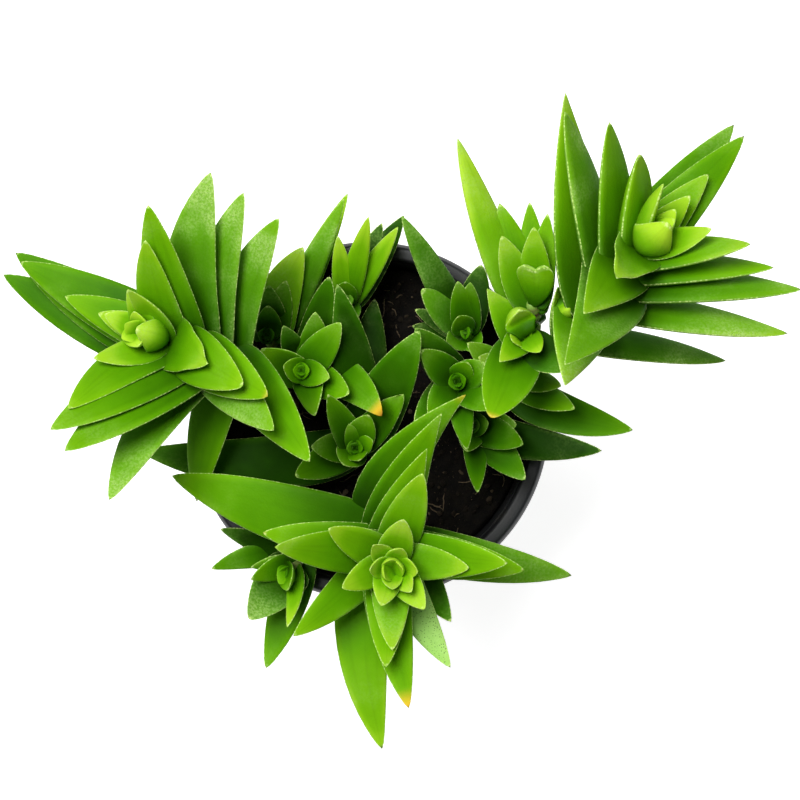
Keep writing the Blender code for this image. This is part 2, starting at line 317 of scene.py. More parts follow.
@dataclass(frozen=True)
class Finish:
    """A procedural material; each kind lays its own nodes."""

    name: str = "finish"

    def lay(self, g: Graph, where: Value) -> None:
        """Add the nodes, with patterns at Object coordinates."""
        raise NotImplementedError

    def material(self) -> Material:
        """Build the material."""
        g = Graph(self.name)
        self.lay(g, g.place())
        return g.material


@dataclass(frozen=True)
class LeafFinish(Finish):
    """Waxy green skin of a fleshy leaf, with a pale beaded margin and painted shade, glow and silvery sheen.
    """

    name: str = "waxy_leaf"
    tones: tuple = ((0.0, (0.410, 0.670, 0.024)), (0.25, (0.170, 0.425, 0.003)),
                    (0.5, (0.090, 0.290, 0.0012)), (0.75, (0.040, 0.165, 0.0008)),
                    (1.0, (0.011, 0.050, 0.0006)))
    deep: Colour = (0.014, 0.070, 0.0003)
    # tint of the painted silvery sheen
    sheen_tint: Colour = (0.380, 0.590, 0.150)
    margin: Colour = (0.640, 0.840, 0.260)
    brown: Colour = (0.230, 0.060, 0.012)
    straw: Colour = (0.720, 0.480, 0.030)
    freckled: Colour = (0.42, 0.70, 0.20)

    def lay(self, g: Graph, where: Value) -> None:
        """Add the nodes."""
        along, across, rim, under = g.read("along"), g.read("across"), g.read("rim"), g.read("under")
        age, scorch, spotted, silver = g.read("age"), g.read("scorch"), g.read("spotted"), g.read("silver")
        patches = g.cloud(where, 60.0, 3.0)
        grain = g.cloud(where, 1300.0, 2.0)
        streaks = g.cloud(g.vector(across * 4.0, along * 1.2, age * 7.0), 1.0, 2.0)
        pores = g.cells(where, 1500.0)

        height = g.node("ShaderNodeSeparateXYZ", {}, {0: where}, 2)
        # painted shade: darker on leaves low in the plant and towards each leaf's base
        painted_shade = height.step(0.163, 0.100) * 0.36 + along.step(0.8, 0.0) * 0.29
        # painted light: paler towards the tips and along the margins, plus random mottling
        painted_glow_and_mottle = along.step(0.5, 1.0) * 0.16 + rim.step(3.0, 0.4) * 0.12 + (patches - 0.5) * 0.30
        tone = g.node("ShaderNodeValToRGB", {"stops": self.tones}, {0: age + painted_shade - painted_glow_and_mottle})
        # deeper green towards the leaf base: partly its own colour, partly painted shade
        base_green_and_shade = along.step(-0.02, 0.62) * 0.75 + 0.25
        colour = g.blend(base_green_and_shade, self.deep, tone)
        colour = g.blend(streaks.step(0.45, 0.8) * 0.14, colour, self.deep)
        # painted sheen: silvery glaze over silver leaves' outer halves, tips, margins and undersides
        outer = along.step(0.3, 1.0) * 0.75 + rim.step(4.0, 0.5) * 0.3
        painted_sheen = silver * outer * (0.08 + patches.step(0.4, 0.66) * 0.5)
        ends = along.step(0.6, 1.0) + rim.step(2.0, 0.2) * 0.6
        painted_sheen = painted_sheen + ends * patches.step(0.44, 0.7) * 0.20 + under * (0.02 + silver * 0.15)
        colour = g.blend(painted_sheen * (grain.step(0.36, 0.66) + 0.4), colour, self.sheen_tint)
        colour = g.blend(spotted * along.step(0.2, 0.6) * 0.6, colour, self.freckled)
        dots = pores.step(0.30, 0.12) * grain.step(0.3, 0.55)
        colour = g.blend(dots * (spotted * 0.8 + painted_sheen * 1.1), colour, self.deep)
        beads = g.cells(where, 1100.0).step(0.55, 0.3)
        edge = rim.step(0.42, 0.16) * (beads * 0.75 + 0.25)
        colour = g.blend(edge * 0.85, colour, self.margin)
        worn = along + scorch * 0.22 + patches * 0.05
        colour = g.blend(worn.step(1.03, 1.12), colour, self.straw)
        burnt = worn.step(1.10, 1.19)
        colour = g.blend(burnt, colour, self.brown)
        gloss = 0.40 + painted_sheen * 0.2 + grain * 0.12 + burnt * 0.2
        skin = grain * 0.7 + pores * (painted_sheen * 1.2 + 0.2) + patches * 1.2
        g.set(Base_Color=colour, Roughness=gloss, Normal=g.bump(skin, 0.4, 0.00025),
              Subsurface_Weight=0.10, Subsurface_Radius=(0.6, 1.0, 0.15), Subsurface_Scale=0.0014,
              Specular_IOR_Level=0.035)


@dataclass(frozen=True)
class StemFinish(Finish):
    """Green stalk that browns with age towards its foot."""

    name: str = "stalk"
    green: Colour = (0.20, 0.36, 0.05)
    brown: Colour = (0.16, 0.085, 0.035)
    scar: Colour = (0.10, 0.06, 0.03)

    def lay(self, g: Graph, where: Value) -> None:
        """Add the nodes."""
        age, ring = g.read("age"), g.read("ring")
        mottle = g.cloud(where, 260.0, 4.0, 0.65)
        colour = g.blend((age + mottle * 0.5 - 0.25).step(0.15, 0.75), self.green, self.brown)
        colour = g.blend(ring * 0.7, colour, self.scar)
        g.set(Base_Color=colour, Roughness=0.45 + mottle * 0.2, Normal=g.bump(mottle, 0.5, 0.0004),
              Subsurface_Weight=0.08, Subsurface_Scale=0.001)


@dataclass(frozen=True)
class PlasticFinish(Finish):
    """Thin black pot plastic with a satin face, a painted highlight along the lip's outer edge, scuffs and a
    little dust.
    """

    name: str = "black_plastic"
    black: Colour = (0.0050, 0.0056, 0.0064)
    scuff_and_highlight: Colour = (0.030, 0.034, 0.037)
    dust: Colour = (0.110, 0.085, 0.060)

    def lay(self, g: Graph, where: Value) -> None:
        """Add the nodes."""
        edge, inside = g.read("edge"), g.read("inside")
        haze = g.cloud(where, 45.0, 4.0, 0.6)
        peel = g.cloud(where, 1500.0, 1.0)
        bands = g.node("ShaderNodeMapping", {}, {"Vector": where, "Scale": (1.0, 1.0, 9.0)})
        scuffs = g.cloud(bands, 140.0, 3.0, 0.7)
        specks = g.cells(where, 420.0).step(0.16, 0.08) * haze.step(0.45, 0.65)
        # painted highlight: paler along the outer top of the lip; scuffs use the same grey
        colour = g.blend(edge * (haze * 0.7 + 0.15), self.black, self.scuff_and_highlight)
        colour = g.blend(scuffs.step(0.62, 0.72) * 0.4, colour, self.scuff_and_highlight)
        colour = g.blend(inside * specks * 0.8 + inside * haze.step(0.5, 0.8) * 0.35, colour, self.dust)
        g.set(Base_Color=colour, Roughness=0.30 + haze * 0.16 + scuffs * 0.12 + inside * 0.15,
              Normal=g.bump(peel * 0.4 + scuffs * 0.6, 0.12, 0.0003))


@dataclass(frozen=True)
class SoilFinish(Finish):
    """Dark damp potting soil with paler crumbs."""

    name: str = "potting_soil"
    wet: Colour = (0.0016, 0.0013, 0.0009)
    dry: Colour = (0.0085, 0.0062, 0.0036)
    pale: Colour = (0.190, 0.140, 0.085)

    def lay(self, g: Graph, where: Value) -> None:
        """Add the nodes."""
        tint = g.read("tint")
        lumps = g.cloud(where, 210.0, 5.0, 0.7)
        grit = g.cloud(where, 1700.0, 3.0, 0.7)
        colour = g.blend((lumps + grit * 0.5 - 0.25).step(0.35, 0.85), self.wet, self.dry)
        colour = g.blend(g.cells(where, 900.0).step(0.12, 0.04) * grit.step(0.5, 0.6), colour, self.pale)
        colour = g.blend(tint, colour, self.pale)
        g.set(Base_Color=colour, Roughness=0.72 + grit * 0.2, Normal=g.bump(lumps + grit * 0.6, 0.8, 0.0007),
              Specular_IOR_Level=0.12)


@dataclass(frozen=True)
class FloorFinish(Finish):
    """Matt pale floor that stays white in the picture and keeps the shadow."""

    name: str = "pale_floor"
    paper: Colour = (0.82, 0.82, 0.82)
    dull: Colour = (0.78, 0.78, 0.78)
    lift: float = 0.80         # glow that the camera and mirrored rays see

    def lay(self, g: Graph, where: Value) -> None:
        """Add the nodes."""
        tooth = g.cloud(where, 300.0, 2.0)
        seen = g.node("ShaderNodeLightPath", {}, {}, "Is Camera Ray")
        mirrored = g.node("ShaderNodeLightPath", {}, {}, "Is Glossy Ray")
        through = g.node("ShaderNodeLightPath", {}, {}, "Is Transmission Ray")
        colour = g.blend(tooth * 0.06, self.paper, self.dull)
        shown = g.blend(seen + mirrored + through, (0.0, 0.0, 0.0), (self.lift, self.lift, self.lift))
        g.set(Base_Color=colour, Roughness=0.9, Emission_Color=shown, Emission_Strength=1.0)


# ---- the plant's lines

class Line:
    """A smooth curve through given points, measured back from its tip, in millimetres."""

    def __init__(self, points: Sequence[Point], radii: tuple[float, float], steps: int = 3) -> None:
        """Lay the curve through the points.

        Args:
            points: where it passes, foot first.
            radii: its radius at the foot and at the tip.
            steps: how many straight runs lie between two points.
        """
        given = [np.array(p, float) for p in points]
        ends = [2 * given[0] - given[1]] + given + [2 * given[-1] - given[-2]]
        run = [given[0]]
        for a, b, c, d in zip(ends, ends[1:], ends[2:], ends[3:]):
            for step in range(1, steps + 1):
                t = step / steps
                run.append(0.5 * (2 * b + (c - a) * t + (2 * a - 5 * b + 4 * c - d) * t * t
                                  + (3 * b - a - 3 * c + d) * t ** 3))
        self.run = np.array(run)
        self.reach = np.concatenate(([0.0], np.cumsum(np.linalg.norm(np.diff(self.run, axis=0), axis=1))))
        self.length = float(self.reach[-1])
        self.radii = radii

    def at(self, back: float) -> np.ndarray:
        """Point this far back from the tip; a negative number lies beyond it."""
        want = self.length - back
        if want > self.length:
            return self.run[-1] + unit(self.run[-1] - self.run[-2]) * -back
        return np.array([np.interp(want, self.reach, self.run[:, k]) for k in range(3)])

    def axis(self, back: float) -> np.ndarray:
        """Direction of growth this far back from the tip."""
        return unit(self.at(back - 1.0) - self.at(back + 1.0))

    def radius(self, back: float) -> float:
        """Radius this far back from the tip."""
        share = min(1.0, max(0.0, 1.0 - back / self.length))
        return self.radii[0] + (self.radii[1] - self.radii[0]) * share


# ---- leaves

TIP = ((1.0, 0.03),)           # station and width share at the very tip of every outline


class Form(Enum):
    """Outline of a leaf: width share at each station, which also sets how blunt it is."""

    LANCE = ((0, .66), (.035, .75), (.08, .84), (.14, .92), (.21, .975), (.28, 1), (.36, .995),
             (.44, .97), (.52, .93), (.60, .87), (.67, .80), (.74, .71), (.80, .61), (.86, .485),
             (.91, .355), (.95, .235), (.98, .12))
    OVATE = ((0, .58), (.04, .69), (.09, .80), (.15, .885), (.22, .95), (.30, .99), (.38, 1), (.47, .985),
             (.56, .94), (.65, .86), (.73, .76), (.80, .64), (.86, .51), (.91, .38), (.95, .26),
             (.98, .14))
    SCALE = ((0, .60), (.05, .72), (.11, .82), (.18, .90), (.26, .96), (.35, .99), (.45, 1), (.55, .97),
             (.65, .90), (.74, .79), (.82, .65), (.88, .51), (.93, .37), (.97, .22), (.99, .12))
    WEDGE = ((0, .95), (.08, .99), (.18, 1), (.28, .97), (.38, .92), (.48, .85), (.57, .76), (.66, .65),
             (.74, .53), (.81, .415), (.87, .30), (.92, .20), (.96, .11), (.985, .05))
    HEART = ((0, .25), (.10, .33), (.24, .47), (.38, .62), (.52, .77), (.66, .91), (.77, .98), (.85, 1),
             (.915, .96), (.955, .86), (.98, .72), (.995, .55))


@dataclass(frozen=True)
class Leaf:
    """One leaf: where it points, its length and its habits."""

    turn: float
    rise: float
    length: float
    sway: float = 0.0
    form: Form = Form.LANCE
    wide: float = 1.0          # width against the usual one for this length
    deep: float = 1.0          # thickness against the usual one
    cup: float = 1.0           # how far its margins curl up
    twist: float = 0.0         # degrees its face turns from root to tip
    roll: float = 0.0          # degrees its whole face is turned
    bow: float | None = None   # arch of its midline against its length, upwards when positive
    wave: float = 0.0          # millimetres its margins ripple
    notch: float = 0.0         # share of its length that its tip is drawn in
    age: float | None = None   # 0 pale and young, 1 dark and old; set high on shadowed leaves as painted shade
    scorch: float = 0.0        # how brown its tip is
    spotted: float = 0.0       # how many dark pores show
    silver: float = 0.0        # how far a painted silvery sheen covers its outer half
    light: float | None = None  # how far its face turns to the light overhead
    seat: float = 0.0          # millimetres it sits further down the stem than its place in the table


class LeafBlanks:
    """One straight leaf for each form, a metre long and two wide, from which the leaves are copied."""

    SIDES = 28
    CROWN = 0.50               # height of the upper face over the margins
    KEEL = 0.22                # how far the keel stands below the rounded back

    def __init__(self) -> None:
        """Model the blanks."""
        self.made = {form: self.model(form) for form in Form}

    def model(self, form: Form) -> Object:
        """Pull a flattened ring forward, station by station, and close it at the tip.

        Args:
            form: the outline wanted.

        Returns:
            The blank: +Y along the leaf, +Z out of its upper face.
        """
        stations = form.value
        blank = added(bpy.ops.mesh.primitive_circle_add, vertices=self.SIDES, radius=1.0, fill_type="NGON",
                      rotation=(math.pi / 2, 0.0, 0.0))
        bpy.ops.object.transform_apply(location=True, rotation=True, scale=True)
        mesh = blank.data
        for corner in mesh.vertices:
            corner.select = corner.co.z > 0.01
        self.squeeze(blank, self.CROWN)
        for corner in mesh.vertices:
            corner.select = abs(corner.co.x) < 0.01 and corner.co.z < 0
        self.squeeze(blank, 1.0 + self.KEEL)
        edit_all()
        first = stations[0][1]
        bpy.ops.transform.resize(value=(first, 1.0, first), center_override=(0.0, 0.0, 0.0))
        for (t, share), (further, next_share) in zip(stations, stations[1:] + TIP):
            bpy.ops.mesh.extrude_region_move(TRANSFORM_OT_translate={"value": (0.0, further - t, 0.0)})
            ratio = next_share / share
            bpy.ops.transform.resize(value=(ratio, 1.0, ratio), center_override=(0.0, further, 0.0))
        bpy.ops.mesh.merge(type="CENTER")
        bpy.ops.mesh.select_all(action="SELECT")
        face_out()
        bpy.ops.object.shade_smooth()
        blank.name = "blank_" + form.name.lower()
        return blank

    @staticmethod
    def squeeze(blank: Object, share: float) -> None:
        """Scale the chosen corners towards, or away from, the plane of the margins."""
        bpy.context.tool_settings.mesh_select_mode = (True, False, False)
        bpy.ops.object.mode_set(mode="EDIT")
        bpy.ops.transform.resize(value=(1.0, 1.0, share), center_override=(0.0, 0.0, 0.0))
        bpy.ops.object.mode_set(mode="OBJECT")

    def clear(self) -> None:
        """Take the blanks away once every leaf is made."""
        for blank in self.made.values():
            bpy.data.objects.remove(blank)


class Blade:
    """A leaf in its place on a stem."""

    TO_LIGHT = 0.5             # how far its face turns from its stem's tip to the light overhead
    ELBOW = 0.36               # share of its length from its root to its midline's control point
    USUAL_BOW = 0.075          # arch of a long leaf against its length
    WIDTH = (6.0, 0.21)        # millimetres, and more for each millimetre of length
    DEPTH = (1.9, 0.022)       # the same, for how far its rounded back stands below its margins

    def __init__(self, leaf: Leaf, root: np.ndarray, axis: np.ndarray, age: float) -> None:
        """Work out its midline.

        Args:
            leaf: its sizes.
            root: where it leaves the stem, in millimetres.
            axis: the stem's direction there.
            age: from 0, young, to 1, old, unless the leaf says otherwise.
        """
        self.leaf, self.root = leaf, root
        self.age = age if leaf.age is None else leaf.age
        along = heading(leaf.turn, leaf.rise)
        light = self.TO_LIGHT if leaf.light is None else leaf.light
        self.side = unit(np.cross(axis * (1 - light) + UP * light, along))
        outward = unit(along - axis * along.dot(axis))
        bend = (along * 0.55 + outward * 0.45) * (self.ELBOW * leaf.length)
        self.elbow = root + bend + self.side * leaf.sway
        self.tip = root + along * leaf.length
        self.over = np.cross(along, self.side)
        usual = self.USUAL_BOW * float(smooth(20.0, 55.0, np.array(leaf.length)))
        self.bow = usual if leaf.bow is None else leaf.bow
        self.half = (self.WIDTH[0] + self.WIDTH[1] * leaf.length) / 2 * leaf.wide
        self.depth = (self.DEPTH[0] + self.DEPTH[1] * leaf.length) * leaf.deep

    def make(self, blanks: LeafBlanks) -> Object:
        """Copy a blank and bend it along the midline.

        Args:
            blanks: the straight leaves.

        Returns:
            The leaf, its mesh in place, in metres.
        """
        leaf = self.leaf
        item = twin(blanks.made[leaf.form])
        x, t, z = corners_of(item.data).T
        t = np.clip(t, 0.0, 1.0)
        shares = np.array(leaf.form.value + TIP)
        share = np.interp(t, shares[:, 0], shares[:, 1])
        across = np.clip(x / share, -1.0, 1.0)

        s = t[:, None]
        arch = self.over * (self.bow * leaf.length)
        middle = self.root * (1 - s) ** 2 + self.elbow * (2 * s * (1 - s)) + self.tip * s * s
        middle = middle + arch * (4.6 * s ** 1.4 * (1 - s) ** 1.2)
        slope = 4.6 * (1.4 * s ** 0.4 * (1 - s) ** 1.2 - 1.2 * s ** 1.4 * np.maximum(1 - s, 1e-4) ** 0.2)
        along = unit((self.elbow - self.root) * (2 - 2 * s) + (self.tip - self.elbow) * (2 * s)
                     + arch * slope)
        side = unit(self.side - along * (along @ self.side)[:, None])
        turn = np.radians(leaf.roll + leaf.twist * t)[:, None]
        over = np.cross(along, side)
        side, over = side * np.cos(turn) + over * np.sin(turn), over * np.cos(turn) - side * np.sin(turn)

        width = self.half * share
        thin = (1 - 0.30 * t - 0.5 * t ** 4) / np.maximum(share, 0.03) * np.clip(share * 1.6, 0, 1) ** 0.5
        height = z * thin * self.depth
        grown = float(smooth(25.0, 55.0, np.array(leaf.length)))
        cup = leaf.cup * (0.20 * (1 - t) ** 2 + 0.10) * (1 - 0.6 * grown)
        ripple = leaf.wave * np.sin(t * 17 + across * 2.2) * across ** 2 * smooth(0.1, 0.5, t)
        lift = cup * width * across ** 2 + ripple
        drawn = leaf.notch * leaf.length * (1 - np.abs(across)) ** 1.4 * smooth(0.5, 1.0, t)
        place = middle - side * (across * width)[:, None] + over * (height + lift)[:, None]
        place = place - along * drawn[:, None]
        move_corners(item.data, place * MM)

        rim = np.minimum(np.hypot((1 - np.abs(across)) * width, height), (1 - t) * leaf.length * 0.35)
        rim = rim * max(1.0, 18.0 / leaf.length) ** 1.5 + max(0.0, 9.0 - leaf.length) * 0.3
        painted = {"along": t, "across": across, "rim": rim, "under": smooth(0.0, 0.25, -z / share),
                   "age": self.age, "scorch": leaf.scorch, "spotted": leaf.spotted, "silver": leaf.silver}
        for name, values in painted.items():
            paint(item.data, name, values)
        return item


# ---- branches and shoots

STEM_RADII = (3.2, 1.5)
SHOOT_RADII = (1.9, 0.9)
BUD_DEPTH = 3.0                # millimetres a bud's leaves start beyond their place on the stem
SWELL = (0.7, 1.3)             # height and reach, in millimetres, of a stem's swelling at its leaves

Row = tuple[float, Leaf]


def of(turn: float, rise: float, length: float, *shared: Any, **habits: Any) -> Leaf:
    """A leaf from its direction, its length, a form or shared habits, and habits of its own."""
    chosen: dict[str, Any] = {}
    for habit in shared:
        chosen.update({"form": habit} if isinstance(habit, Form) else habit)
    return Leaf(turn, rise, length, **{**chosen, **habits})


def at(back: float, *sizes: Any, **habits: Any) -> Row:
    """A leaf that sits this many millimetres back from the tip."""
    return back, of(*sizes, **habits)


@dataclass
class Sprout:
    """Anything that grows: a stem with leaves."""

    name: str
    points: Sequence[Point]
    leaves: list[Row]
    radii: tuple[float, float] = SHOOT_RADII
    heart: tuple[float, float] = (5.0, 0.0)   # length of the smallest leaves round the tip, and their turn
    young: float = 0.25                       # age of its youngest leaf, raised on low shoots as painted shade
    line: Line = field(init=False)

    def __post_init__(self) -> None:
        """Lay its line."""
        self.line = Line(self.points, self.radii)

    def age(self, leaf: Leaf) -> float:
        """Age of a leaf from its length."""
        return min(0.7, self.young + leaf.length / 170.0)

    def blade(self, back: float, leaf: Leaf, start: float = 0.0) -> Blade:
        """Seat one leaf on the stem."""
        spot = back + leaf.seat
        return Blade(leaf, self.line.at(spot - start), self.line.axis(spot), self.age(leaf))

    def cluster(self) -> list[Blade]:
        """The closed leaves in the very middle of the growing tip, each pair across the last."""
        size, turn = self.heart
        if not size:
            return []
        axis = self.line.axis(0.5)
        across = unit(np.cross(axis, (0.3, 0.1, 1.0) if abs(axis[2]) < 0.9 else (0.0, 1.0, 0.0)))
        up = np.cross(axis, across)
        found = []
        for number in range(3):
            length = size * (1.0 - 0.22 * number)
            for half in (0, 1):
                angle = math.radians(turn + 90 * number + 180 * half)
                lean = 0.62 - 0.16 * number
                way = unit(axis + (across * math.cos(angle) + up * math.sin(angle)) * lean)
                rise = math.degrees(math.asin(float(way[2])))
                leaf = Leaf(math.degrees(math.atan2(way[1], way[0])), rise, length, form=Form.SCALE,
                            wide=0.72 if number else 0.82, cup=2.8, age=self.young + 0.15 + 0.2 * number)
                found.append(Blade(leaf, self.line.at(0.6 - 0.25 * number), axis, 0.1))
        return found

    def crown(self, blanks: LeafBlanks, start: float = 0.0) -> list[Object]:
        """Make its single leaves and the closed ones in their middle."""
        made = [self.blade(back, leaf, start).make(blanks) for back, leaf in self.leaves]
        return made + [blade.make(blanks) for blade in self.cluster()]

    def build(self, blanks: LeafBlanks, leaf: Material, stem: Material) -> None:
        """Model and dress its pieces.

        Args:
            blanks: the straight leaves.
            leaf: finish of the leaves.
            stem: finish of the stem.
        """
        raise NotImplementedError


def stalk(line_points: Sequence[Point], radii: tuple[float, float], nodes: Sequence[float], foot_age: float,
          name: str) -> Object:
    """A tapering stem that swells where its leaves sit.

    Args:
        line_points: where it passes, in millimetres.
        radii: radius at the foot and the tip.
        nodes: how far back from the tip each pair sits.
        foot_age: how brown its foot is.
        name: the piece's name.

    Returns:
        The stem as a mesh.
    """
    line = Line(line_points, radii, 14)
    item = empty_curve(1.0, 4)
    item.name = name
    spline = item.data.splines.new("POLY")
    spline.points.add(len(line.run) - 1)
    for number, (place, reach) in enumerate(zip(line.run, line.reach)):
        back = line.length - reach
        swell = sum(SWELL[0] * math.exp(-((back - node) / SWELL[1]) ** 2) for node in nodes)
        spline.points[number].co = (*(place * MM), 1.0)
        spline.points[number].radius = line.radius(back) + swell
    item = tube_mesh()
    mesh = item.data
    places = corners_of(mesh) / MM
    backs = line.length - line.reach[np.argmin(((places[:, None, :] - line.run[None]) ** 2).sum(2), axis=1)]
    paint(mesh, "age", foot_age * backs / line.length)
    paint(mesh, "ring", np.sum([np.exp(-((backs - node - 1.2) / 0.5) ** 2) for node in nodes], axis=0))
    bpy.ops.object.shade_smooth()
    return item


@dataclass
class Branch(Sprout):
    """A main shoot: its pairs of leaves are pieces of their own."""

    radii: tuple[float, float] = STEM_RADII
    pairs: list[tuple[Any, ...]] = field(default_factory=list)
    young: float = 0.2

    def build(self, blanks: LeafBlanks, leaf: Material, stem: Material) -> None:
        """Model and dress its stem, its bud and its pairs."""
        bar = stalk(self.points, self.radii, [row[0] for row in self.pairs], 0.9, "stalk_" + self.name)
        dress(bar, stem, ["stem_" + self.name])
        made = self.crown(blanks, BUD_DEPTH)
        dress(join(made, "growing_tip_" + self.name), leaf, ["bud_" + self.name])
        for number, (back, *both) in enumerate(self.pairs, 1):
            made = [self.blade(back, one).make(blanks) for one in both]
            dress(join(made, f"leaf_pair_{self.name}_{number:02d}"), leaf,
                  [f"leaves_{self.name}_{number:02d}"])


@dataclass
class Shoot(Sprout):
    """A young shoot: its stem and its leaves are one piece each."""

    def build(self, blanks: LeafBlanks, leaf: Material, stem: Material) -> None:
        """Model and dress its leaves and its stem."""
        made = self.crown(blanks)
        dress(join(made, "rosette_" + self.name), leaf, ["shoot_" + self.name])
        bar = stalk(self.points, self.radii, [row[0] for row in self.leaves], 0.6, "stalk_" + self.name)
        dress(bar, stem)


def both(back: float, *leaves: Leaf) -> tuple[Any, ...]:
    """Opposite leaves that sit this many millimetres back from the tip."""
    return (back, *leaves)


# ---- the leaves of this plant

OVATE, SCALE, WEDGE, HEART = Form.OVATE, Form.SCALE, Form.WEDGE, Form.HEART
EDGEWISE = {"light": 0.25, "deep": 1.6}  # seen nearly edge on from above
BALL = {"light": 0.0, "wide": 1.25, "deep": 2.6, "cup": 2.5, "bow": -0.22}  # closed over the growing tip
FOLDED = {"cup": 2.6, "bow": -0.12, "wide": 0.85}  # curled round the growing tip

LEFT = Branch("left", [(-26, 4, 86), (-30, 8, 112), (-43, 17, 131), (-57, 23.5, 143), (-70, 28, 152)], [
    at(0.5, -153, 36, 7, SCALE), at(0.5, 152, 50, 7, SCALE), at(1.5, 105, 44, 9, SCALE),
    at(1.5, -95, 58, 9, SCALE, wide=1.3, cup=3, deep=1.6), at(2.5, 155, 8, 14), at(3, 110, 33, 17)], pairs=[
    both(4, of(158, 4, 20), of(158, 66, 14, SCALE, BALL, age=0.3)),
    both(6.5, of(122, 45, 25), of(-163, 30, 25, OVATE)),
    both(9, of(157, -4, 37), of(-28, 60, 32, WEDGE, wide=1.45, wave=0.5)),
    both(11, of(103, 37, 40, light=0.65, sway=7), of(-146, 33, 44.5, wide=1.15, sway=-9)),
    both(13.5, of(153, -7, 60), of(-31, 55, 44, SCALE, wide=1.15, bow=0.1)),
    both(16, of(103, 33, 53, light=0.65, sway=6), of(-147, 34, 57, sway=-1.5, wide=1.2)),
    both(18.5, of(151.7, -10, 68.5, sway=6), of(-30, 54, 50, OVATE, wide=1.1, scorch=0.3)),
    both(21.5, of(85.5, 22, 60.5, light=0.6, sway=12, silver=1.0, wide=1.1),
         of(-142, 37, 62, sway=-1, wide=1.25)),
    both(24, of(158.5, -9, 74, sway=6, wide=0.95), of(-45, 54, 56, silver=0.7)),
    both(27, of(78.5, 25, 58, sway=9, silver=0.9), of(-124.6, 32, 63, sway=-9, silver=0.5)),
    both(30, of(170, -40, 58), of(-46, 48, 64, sway=6)),
    both(34, of(70, 31, 57, sway=9, silver=0.8), of(-106, -17, 48, age=0.3))])

RIGHT = Branch("right", [(38, 6, 86), (47, 11, 112), (60, 25, 134), (74, 42, 148), (88, 58, 160)], [
    at(2.5, 33, 50, 12, SCALE, deep=2.0), at(2.5, 48, 30, 12), at(1.5, 110, 50, 9, SCALE),
    at(5.5, 38, 64, 17, SCALE, BALL, wide=1.45, age=0.25)], pairs=[
    both(4, of(74, 39, 24, OVATE, light=0.1, deep=2.2), of(12, 30, 24, OVATE, light=0.5)),
    both(6.5, of(-131, 62, 28, WEDGE, wide=1.5, cup=2.4, wave=0.5, silver=0.3), of(46, 2, 24)),
    both(10.5, of(88, 33, 37, OVATE, light=0.27, deep=2.3, wide=1.4, sway=-8),
         of(6, 24, 39.5, EDGEWISE, sway=4, wide=1.15)),
    both(13.5, of(-133, 58, 42, WEDGE, wide=1.4), of(47, -3, 40)),
    both(16.5, of(95.5, 25, 50, EDGEWISE, wide=1.3, sway=-3),
         of(1.2, 12, 49, EDGEWISE, light=0.14, sway=2)),
    both(19, of(-123, 54, 57, WEDGE, wide=1.4, sway=4, silver=0.8), of(47, -5, 62.5, wide=0.92)),
    both(22, of(106, 24, 59, EDGEWISE, wide=1.15, silver=0.8, sway=-1),
         of(-2, 10, 61, EDGEWISE, light=0.14, silver=0.6)),
    both(25, of(-107, 51, 38, WEDGE, seat=11, wide=1.6, deep=1.8, roll=-12, sway=-2, age=0.4, silver=0.6),
         of(51, -8, 70, wide=0.92)),
    both(28.5, of(99, 12, 66, WEDGE, EDGEWISE, wide=1.5, age=0.4, sway=3),
         of(-10.5, 5, 62, light=0.2, deep=1.4, silver=1.0, sway=-5, wide=0.88, age=0.4)),
    both(46, of(102, 55, 26),
         of(-8, -21, 60, light=0.15, deep=1.3, wide=0.68, silver=1.0, sway=-4, age=0.45)),
    both(70, of(-18, 50, 18), of(160, 45, 24)),
    both(74.5, of(-28, 44, 27), of(145, 40, 28)),
    both(79, of(-20, 16, 43, sway=-5), of(168, 20, 30))])

FRONT = Branch("front", [(4, -22, 86), (5, -30, 112), (6.5, -39, 137), (7.5, -45, 158)], [
    at(0.6, 10, 66, 8, SCALE, FOLDED), at(0.8, 105, 66, 8, SCALE, FOLDED),
    at(0.4, -135, 66, 8, SCALE, FOLDED), at(1, -88, 58, 11, OVATE, FOLDED),
    at(1.8, 180, 55, 12, SCALE, FOLDED), at(1.5, -48, 50, 14, OVATE, FOLDED),
    at(2.2, -5, 52, 13, SCALE, FOLDED), at(2.4, 62, 54, 12, SCALE, FOLDED),
    at(2.6, 128, 48, 14, SCALE, FOLDED), at(3, -106, 46, 17, OVATE), at(3.5, -51, 36, 20, OVATE),
    at(6, -156, 37, 21, OVATE)], pairs=[
    both(4, of(75, 43, 20, OVATE, wide=1.1), of(-62, 40, 14)),
    both(6.5, of(151, 38, 28, OVATE), of(-4, 30, 28, OVATE, silver=0.7)),
    both(9, of(70, 37, 36, OVATE), of(-89, 36, 34, silver=0.5)),
    both(12, of(174, 36, 44), of(-2, 35, 44)),
    both(15, of(71, 43, 48, WEDGE, sway=3), of(-92, 39, 44)),
    both(18, of(173, 8, 41, scorch=0.2), of(-9, 10, 44)),
    both(21, of(69, 41, 60, WEDGE, sway=6), of(-82.8, 33, 58.5, scorch=0.45, wide=0.85, sway=-5)),
    both(25, of(164, -6, 74, age=0.4), of(-12, -14, 63.5, wide=0.8, age=0.4, silver=0.3)),
    both(29, of(62, 41, 68, WEDGE, scorch=0.3, sway=16, wide=1.05),
         of(-91.5, 6, 69, sway=-15, wide=0.93, age=0.3)),
    both(21.5, of(-137, 24, 45, wide=0.9, sway=3),
         of(-63, 22, 46, sway=-4, spotted=1.0, silver=0.8, wide=0.85), of(-54, 30, 40, seat=11, age=0.9))])

